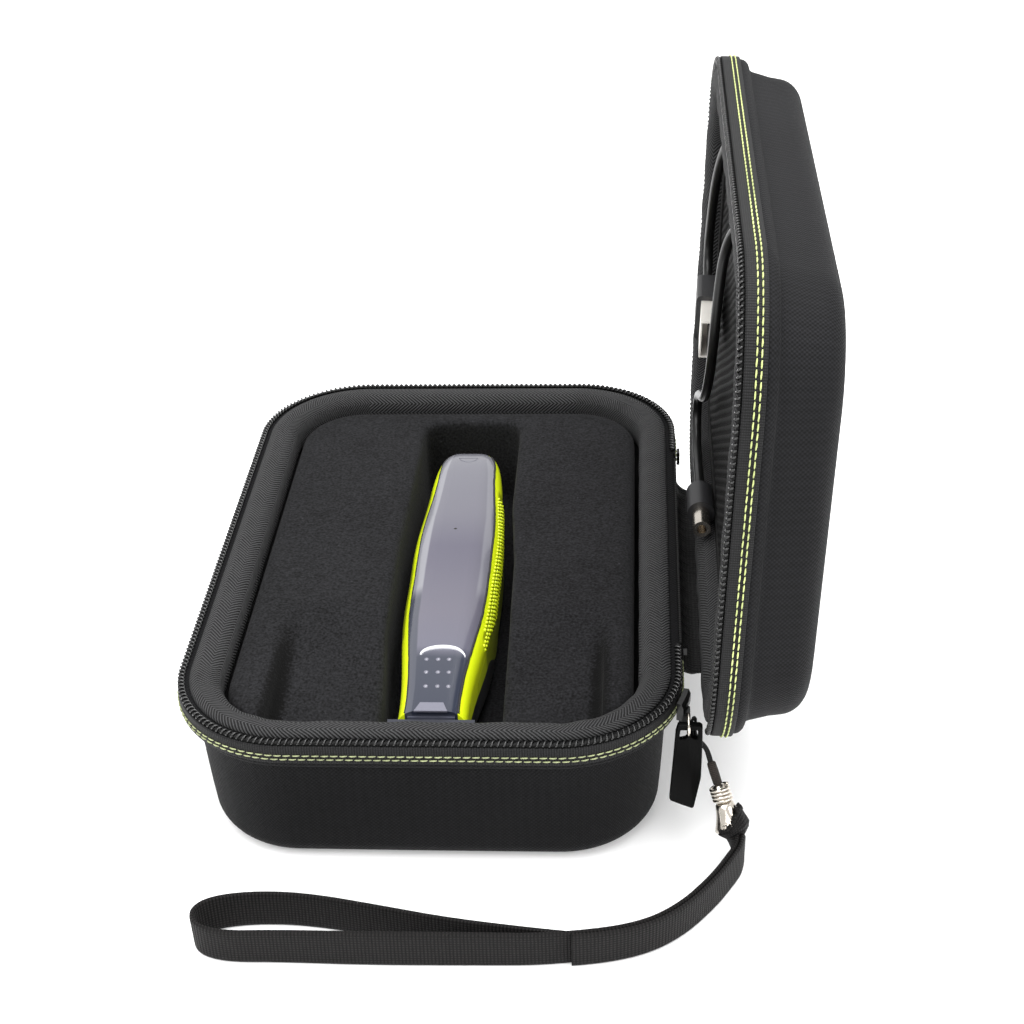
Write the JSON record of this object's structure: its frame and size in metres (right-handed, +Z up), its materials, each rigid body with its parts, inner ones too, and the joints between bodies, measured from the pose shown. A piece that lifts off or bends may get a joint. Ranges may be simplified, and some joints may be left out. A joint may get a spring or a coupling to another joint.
{
  "type": "electric shaver hard case",
  "caption": "Zipped hard carrying case, open, with a fitted tray holding an electric shaver, a net pocket with a charging lead in the lid, and a wrist strap.",
  "frame": {"origin": "centre of the base's flat underside, on the surface it lies on", "axes": "+X towards the hinge and the open lid, +Y along the case away from the strap, +Z up"},
  "size_m": [0.1773, 0.237, 0.1725],
  "materials": {
    "shell_fabric": "matte",
    "lining_fabric": "matte",
    "binding_twill": "matte",
    "zip_tape": "matte",
    "zip_coil": "gloss",
    "stitch_thread": "matte",
    "gusset_fabric": "matte",
    "zip_stop": "satin",
    "tray_fabric": "matte",
    "shaver_lime": "gloss",
    "shaver_grey": "gloss",
    "shaver_front": "gloss",
    "grip_rubber": "matte",
    "button_grey": "satin",
    "board_green": "satin",
    "switch_black": "matte",
    "cell_case": "satin",
    "motor_can": "satin",
    "rod_steel": "satin",
    "mount_plastic": "matte",
    "socket_black": "satin",
    "neck_slate": "satin",
    "guard_slate": "satin",
    "cutter_steel": "polished",
    "slider_metal": "satin",
    "nickel": "polished",
    "tab_black": "satin",
    "cord_black": "matte",
    "sleeve_black": "satin",
    "strap_webbing": "matte",
    "pocket_net": "matte",
    "hem_elastic": "matte",
    "lead_black": "satin",
    "tie_black": "matte",
    "mould_black": "satin",
    "usb_steel": "polished",
    "tongue_white": "satin"
  },
  "bodies": {
    "base": {"base_shell": "shell_fabric", "base_lining": "lining_fabric", "base_binding": "binding_twill", "base_zip_tape": "zip_tape", "base_zip_teeth": "zip_coil", "base_stitches": "stitch_thread", "tray_insert": "tray_fabric", "hinge_gusset": "gusset_fabric", "zip_stops": "zip_stop"},
    "lid": {"lid_shell": "shell_fabric", "lid_lining": "lining_fabric", "lid_binding": "binding_twill", "lid_zip_tape": "zip_tape", "lid_zip_teeth": "zip_coil", "lid_stitches": "stitch_thread", "mesh_pocket": "pocket_net", "pocket_hem": "hem_elastic", "lead_hank": "lead_black", "lead_usb_end": "lead_black", "lead_jack_end": "lead_black", "lead_tie": "tie_black", "usb_moulding": "mould_black", "usb_shell": "usb_steel", "usb_tongue": "tongue_white", "jack_grip": "mould_black", "jack_barrel": "nickel"},
    "slider": {"slider_body": "slider_metal", "slider_bail": "nickel"},
    "pull_tab": {"pull_tab": "tab_black"},
    "strap": {"lanyard_loop": "cord_black", "lanyard_cord": "cord_black", "lanyard_sleeve": "sleeve_black", "lanyard_wire_coil": "nickel", "lanyard_clasp": "nickel", "strap_end_wrap": "strap_webbing", "strap_stem": "strap_webbing", "strap_loop": "strap_webbing"},
    "shaver": {"shaver_body": "shaver_lime", "shaver_back_panel": "shaver_grey", "shaver_side_grips": "grip_rubber", "shaver_front_panel": "shaver_front", "circuit_board": "board_green", "button_switch": "switch_black", "battery_cell": "cell_case", "drive_motor": "motor_can", "drive_rod": "rod_steel", "motor_mount": "mount_plastic", "charge_socket": "socket_black", "neck_plate": "neck_slate", "blade_latch": "neck_slate", "blade_guard": "guard_slate"},
    "power_button": {"power_button": "button_grey"},
    "blade_cutter": {"blade_cutter": "cutter_steel"}
  },
  "joints": [
    {"name": "lid_hinge", "type": "hinge", "parent": "base", "child": "lid", "pos_m": [0.0654, 0, 0.0376], "axis": [0, 1, 0], "range_deg": [-92.5, 12], "deforming": ["hinge_gusset"]},
    {"name": "slider_travel", "type": "hinge", "parent": "base", "child": "slider", "pos_m": [0.036, -0.0675, 0.0412], "axis": [0, 0, -1], "range_deg": [0, 70]},
    {"name": "tab_swing", "type": "hinge", "parent": "slider", "child": "pull_tab", "pos_m": [0.0713, -0.084, 0.0393], "axis": [-1, 0, 0], "range_deg": [0, 110]},
    {"name": "strap_turn", "type": "hinge", "parent": "slider", "child": "strap", "pos_m": [0.0726, -0.0818, 0.037], "axis": [0, 0, 1], "range_deg": [0, 70]},
    {"name": "shaver_lift", "type": "slide", "parent": "base", "child": "shaver", "axis": [0, 0, 1], "range_m": [0, 0.08]},
    {"name": "button_press", "type": "slide", "parent": "shaver", "child": "power_button", "axis": [0, 0, 1], "range_m": [0, 0.001], "stiffness_N_per_m": 900},
    {"name": "cutter_stroke", "type": "slide", "parent": "shaver", "child": "blade_cutter", "axis": [1, 0, 0], "range_m": [-0.00075, 0.00075]}
  ],
  "couplings": [
    {"joint": "strap_turn", "follows": "slider_travel", "ratio": 1}
  ]
}
